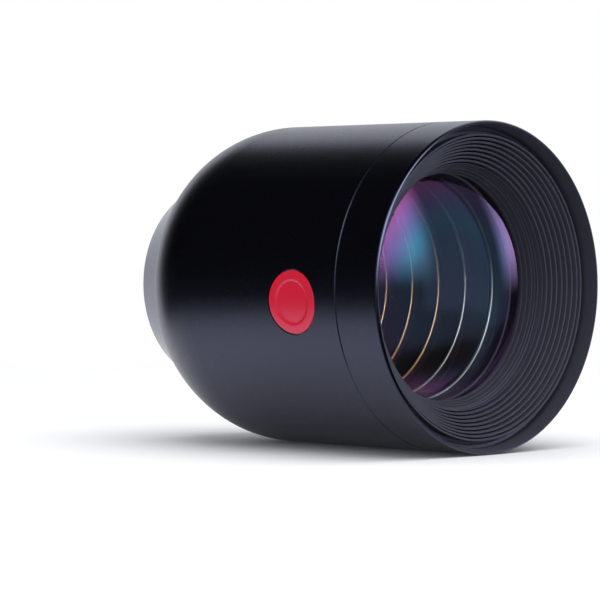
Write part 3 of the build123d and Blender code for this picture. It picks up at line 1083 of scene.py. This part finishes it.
def floor_finish():
    """White paper sweep. It takes the shadow, fades out away from the lens, and is open from below."""
    material, tree = start_material("white_paper_sweep")
    path, seen = seen_only(tree)
    shape = add_node(tree, "ShaderNodeNewGeometry")
    place = add_node(tree, "ShaderNodeTexCoord")
    spread = add_node(
        tree,
        "ShaderNodeVectorMath",
        {"operation": "LENGTH"},
        {0: place.outputs["Object"]},
    ).outputs["Value"]
    split = add_node(tree, "ShaderNodeSeparateXYZ", {}, {"Vector": place.outputs["Object"]})
    fades = []
    for value, (start, end) in (
        (spread, PAPER_FADE),
        (spread, GLOSS_FADE),
        (split.outputs["Y"], FRONT_FADE),
    ):
        fade = add_node(
            tree,
            "ShaderNodeMapRange",
            {"interpolation_type": "SMOOTHSTEP"},
            {"From Min": start, "From Max": end, "To Min": 1.0, "To Max": 0.0, "Value": value},
        )
        fades.append(fade.outputs["Result"])
    near = add_node(tree, "ShaderNodeMath", {"operation": "MULTIPLY"}, {0: fades[1], 1: fades[2]})
    there = add_node(
        tree,
        "ShaderNodeMix",
        {"data_type": "FLOAT"},
        {0: path.outputs["Is Glossy Ray"], 2: fades[0], 3: near.outputs[0]},
    )
    behind = add_node(
        tree,
        "ShaderNodeMath",
        {"operation": "MULTIPLY"},
        {0: shape.outputs["Backfacing"], 1: seen},
    )
    front = add_node(tree, "ShaderNodeMath", {"operation": "SUBTRACT"}, {0: 1.0, 1: behind.outputs[0]})
    solid = add_node(
        tree,
        "ShaderNodeMath",
        {"operation": "MULTIPLY"},
        {0: there.outputs[0], 1: front.outputs[0]},
    )
    paper = add_node(tree, "ShaderNodeBsdfDiffuse", {}, {"Color": linear("#f7f7f8"), "Roughness": 0.0})
    lift = add_node(tree, "ShaderNodeEmission", {}, {"Color": (1, 1, 1, 1), "Strength": 0.02})
    both = add_node(
        tree,
        "ShaderNodeAddShader",
        {},
        {0: paper.outputs["BSDF"], 1: lift.outputs["Emission"]},
    )
    clear = add_node(tree, "ShaderNodeBsdfTransparent")
    mix = add_node(
        tree,
        "ShaderNodeMixShader",
        {},
        {0: solid.outputs[0], 1: clear.outputs["BSDF"], 2: both.outputs["Shader"]},
    )
    add_node(tree, "ShaderNodeOutputMaterial", {}, {"Surface": mix.outputs["Shader"]})
    return material


def studio_world(level):
    """White to the eye and through glass, while gloss sees the tent in front. It lights plainly."""
    world = bpy.data.worlds.new("studio")
    bpy.context.scene.world = world
    world.cycles.sampling_method = "NONE"
    world.use_nodes = True
    tree = world.node_tree
    tree.nodes.clear()
    path, seen = seen_only(tree)
    lit = add_node(tree, "ShaderNodeBackground", {}, {"Color": linear("#fafbff"), "Strength": level})
    white = add_node(tree, "ShaderNodeBackground", {}, {"Color": (1, 1, 1, 1), "Strength": 1.0})
    mix = add_node(
        tree,
        "ShaderNodeMixShader",
        {},
        {0: seen, 1: lit.outputs["Background"], 2: white.outputs["Background"]},
    )
    add_node(tree, "ShaderNodeOutputWorld", {}, {"Surface": mix.outputs["Shader"]})


# What stands round the table, as the lens mirrors it: brightness, then from and to, in degrees, of
# its bearing (0 is out of the front glass, 90 is +Y) and of its height over the floor's horizon,
# how soft its sides are, and how much they lean.
WHITE_SWEEP = (1.0, 98, 174, -95, 62, 5, 0.65)
GREY_WALL = (0.4, 30, 98, -7, 70, 2, 0.0)
WINDOW = (7.0, -34, 32, 5, 34, 7, 0.0)
DIM_SIDE = (0.25, -90, -34, -20, 60, 8, 0.0)
AROUND = (WHITE_SWEEP, GREY_WALL, WINDOW, DIM_SIDE)


def tent_finish():
    """Black tent with a white sweep, grey wall, window and dim side, which only the gloss sees."""
    material, tree = start_material("studio_tent")
    material.cycles.emission_sampling = "NONE"
    place = add_node(tree, "ShaderNodeTexCoord")
    way = add_node(
        tree,
        "ShaderNodeVectorMath",
        {"operation": "NORMALIZE"},
        {0: place.outputs["Object"]},
    )
    split = add_node(tree, "ShaderNodeSeparateXYZ", {}, {"Vector": way.outputs[0]})
    rise = add_node(
        tree,
        "ShaderNodeVectorMath",
        {"operation": "DOT_PRODUCT"},
        {0: way.outputs[0], 1: UPRIGHT},
    )
    height = add_node(
        tree,
        "ShaderNodeMath",
        {"operation": "ARCSINE"},
        {0: rise.outputs["Value"]},
    ).outputs[0]
    bearing = add_node(
        tree,
        "ShaderNodeMath",
        {"operation": "ARCTAN2"},
        {0: split.outputs["Y"], 1: split.outputs["Z"]},
    ).outputs[0]
    total = 0.0
    for level, left, right, low, high, soft, lean in AROUND:
        leaning = add_node(
            tree,
            "ShaderNodeMath",
            {"operation": "MULTIPLY_ADD"},
            {0: height, 1: lean, 2: bearing},
        ).outputs[0]
        part = level
        for value, at, half in (
            (leaning, left, soft),
            (leaning, right, -soft),
            (height, low, soft),
            (height, high, -soft),
        ):
            side = add_node(
                tree,
                "ShaderNodeMapRange",
                {"interpolation_type": "SMOOTHSTEP"},
                {
                    "From Min": math.radians(at + half),
                    "From Max": math.radians(at - half),
                    "To Min": 1.0,
                    "To Max": 0.0,
                    "Value": value,
                },
            )
            part = add_node(
                tree,
                "ShaderNodeMath",
                {"operation": "MULTIPLY"},
                {0: side.outputs["Result"], 1: part},
            ).outputs[0]
        total = add_node(tree, "ShaderNodeMath", {"operation": "ADD"}, {0: part, 1: total}).outputs[0]
    glow = add_node(tree, "ShaderNodeEmission", {}, {"Color": linear("#f6f8ff"), "Strength": total})
    add_node(tree, "ShaderNodeOutputMaterial", {}, {"Surface": glow.outputs["Emission"]})
    return material


def softbox(name, at, towards, width, height, watts):
    """A large rectangular lamp."""
    data = bpy.data.lights.new(name, "AREA")
    data.shape = "RECTANGLE"
    data.size = width
    data.size_y = height
    data.energy = watts
    lamp = bpy.data.objects.new(name, data)
    bpy.context.scene.collection.objects.link(lamp)
    aim(lamp, at, towards, AHEAD)
    hide_from(lamp, "camera", "glossy")


def from_lens(right, up, near):
    """A place so many mm to the right of, above and nearer than the rim, as the camera sees it."""
    return Vector((0, 0, RIM * MM)) + (RIGHT * right - DOWN * up - AHEAD * near) * MM


class LENS_OT_stage(Operator):
    """Camera of the photo, floor, lamp and the tent that the lens mirrors"""

    bl_idname = "lens.stage"
    bl_label = "Stage and Camera"

    def execute(self, context):
        scene = context.scene
        scene.view_settings.view_transform = "Standard"
        data = bpy.data.cameras.new("photo_camera")
        data.sensor_width = SENSOR
        data.lens = SENSOR * FOCAL_PIXELS / PHOTO_PIXELS
        data.clip_start = 0.01
        data.clip_end = 20
        camera = bpy.data.objects.new("photo_camera", data)
        scene.collection.objects.link(camera)
        aim(camera, CAMERA_AT, AHEAD, -DOWN)
        scene.camera = camera

        bm = bmesh.new()
        bmesh.ops.create_circle(bm, cap_ends=True, segments=64, radius=FLOOR_RADIUS)
        mesh = bpy.data.meshes.new("floor")
        bm.to_mesh(mesh)
        bm.free()
        mesh.materials.append(floor_finish())
        floor = bpy.data.objects.new("floor", mesh)
        scene.collection.objects.link(floor)
        low = -UPRIGHT * (BARREL_R + FLOOR_GAP) * MM + Vector((0, 0, FLOOR_ALONG))
        aim(floor, low, -UPRIGHT, Vector((0, 0, 1)))
        hide_from(floor, "diffuse", "shadow")

        bm = bmesh.new()
        bmesh.ops.create_uvsphere(bm, u_segments=48, v_segments=24, radius=TENT_RADIUS)
        mesh = bpy.data.meshes.new("studio_tent")
        bm.to_mesh(mesh)
        bm.free()
        mesh.materials.append(tent_finish())
        tent = bpy.data.objects.new("studio_tent", mesh)
        scene.collection.objects.link(tent)
        hide_from(tent, "camera", "diffuse", "transmission", "volume_scatter", "shadow")

        studio_world(WORLD_LEVEL)
        middle = from_lens(*LAMP_AIM)
        above = from_lens(*LAMP_PLACE)
        softbox("overhead_box", above, middle - above, LAMP_SIDE, LAMP_SIDE, LAMP_WATTS)
        return {"FINISHED"}


class LENS_PT_panel(Panel):
    bl_label = "Telephoto Lens"
    bl_idname = "LENS_PT_panel"
    bl_space_type = "VIEW_3D"
    bl_region_type = "UI"
    bl_category = "Lens"

    def draw(self, context):
        layout = self.layout
        for group in (context.scene.lens_sizes, context.scene.lens_colours):
            for key in group.__annotations__:
                layout.prop(group, key)
        for step in STEPS_IN_ORDER:
            layout.operator("lens." + step)


STEPS_IN_ORDER = ("metal", "front_ring", "baffle", "glass", "light_trap", "badge", "stage")
CLASSES = (
    LensSizes,
    LensColours,
    LENS_OT_front_ring,
    LENS_OT_baffle,
    LENS_OT_glass,
    LENS_OT_light_trap,
    LENS_OT_badge,
    LENS_OT_metal,
    LENS_OT_stage,
    LENS_PT_panel,
)


def register():
    for cls in CLASSES:
        bpy.utils.register_class(cls)
    bpy.types.Scene.lens_sizes = PointerProperty(type=LensSizes)
    bpy.types.Scene.lens_colours = PointerProperty(type=LensColours)


def unregister():
    del bpy.types.Scene.lens_colours
    del bpy.types.Scene.lens_sizes
    for cls in reversed(CLASSES):
        bpy.utils.unregister_class(cls)


def main():
    register()
    for step in STEPS_IN_ORDER:
        getattr(bpy.ops.lens, step)()


if __name__ == "__main__":
    main()
